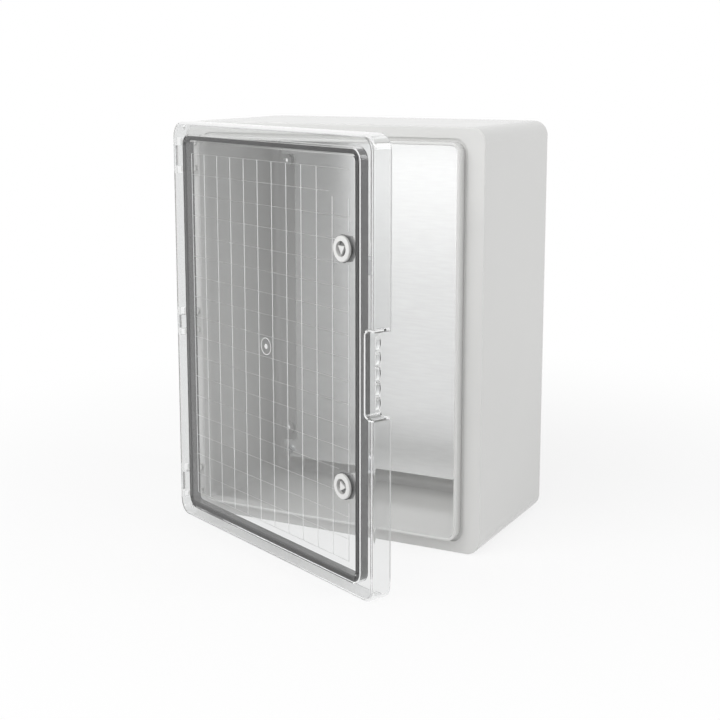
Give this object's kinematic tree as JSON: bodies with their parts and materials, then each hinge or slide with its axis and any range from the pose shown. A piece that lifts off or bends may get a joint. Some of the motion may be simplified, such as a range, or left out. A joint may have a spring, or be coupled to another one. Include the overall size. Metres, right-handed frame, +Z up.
{
  "type": "plastic electrical cabinet",
  "caption": "Wall-mounted moulded plastic enclosure with a clear hinged door, quarter-turn locks, a door gasket and a galvanised mounting plate inside.",
  "frame": {"origin": "middle of the back face, at the centre of the four wall-fixing holes", "axes": "+Z up, -Y out of the front, +X to the right seen from the front"},
  "size_m": [0.4045, 0.4038, 0.5],
  "materials": {
    "cabinet_plastic": "light grey moulded plastic, smooth and slightly glossy",
    "clear_plastic": "clear moulded polycarbonate, polished",
    "gasket_foam": "dark grey foamed seal with a fine skin",
    "seal_rubber": "matt dark grey rubber",
    "lock_plastic": "light grey moulded plastic, satin",
    "galvanised_steel": "galvanised steel sheet with a fine rolling grain",
    "zinc_steel": "zinc-plated steel, satin",
    "brass": "plain turned brass"
  },
  "bodies": {
    "cabinet": {"cabinet_body": "cabinet_plastic", "hinge_upper": "cabinet_plastic", "hinge_middle": "cabinet_plastic", "hinge_lower": "cabinet_plastic", "hinge_pin_upper": "zinc_steel", "hinge_pin_middle": "zinc_steel", "hinge_pin_lower": "zinc_steel", "hinge_screws": "zinc_steel", "plate_inserts": "brass", "mounting_plate": "galvanised_steel", "plate_washers": "zinc_steel", "plate_screws": "zinc_steel"},
    "door": {"door": "clear_plastic", "door_gasket": "gasket_foam", "lock_upper_housing": "lock_plastic", "lock_upper_seal": "seal_rubber", "lock_upper_nut": "lock_plastic", "lock_lower_housing": "lock_plastic", "lock_lower_seal": "seal_rubber", "lock_lower_nut": "lock_plastic"},
    "lock_upper": {"lock_upper_core": "lock_plastic", "lock_upper_cam": "zinc_steel", "lock_upper_cam_screw": "zinc_steel"},
    "lock_lower": {"lock_lower_core": "lock_plastic", "lock_lower_cam": "zinc_steel", "lock_lower_cam_screw": "zinc_steel"}
  },
  "joints": [
    {"name": "door_swing", "type": "hinge", "parent": "cabinet", "child": "door", "pos_m": [-0.194, -0.225, 0], "axis": [0, 0, -1], "range_deg": [-25, 90]},
    {"name": "lock_upper_turn", "type": "hinge", "parent": "door", "child": "lock_upper", "pos_m": [0.11143, -0.38398, 0.129], "axis": [-0.4226, -0.9063, 0], "range_deg": [0, 90]},
    {"name": "lock_lower_turn", "type": "hinge", "parent": "door", "child": "lock_lower", "pos_m": [0.11143, -0.38398, -0.129], "axis": [-0.4226, -0.9063, 0], "range_deg": [-90, 0]}
  ]
}
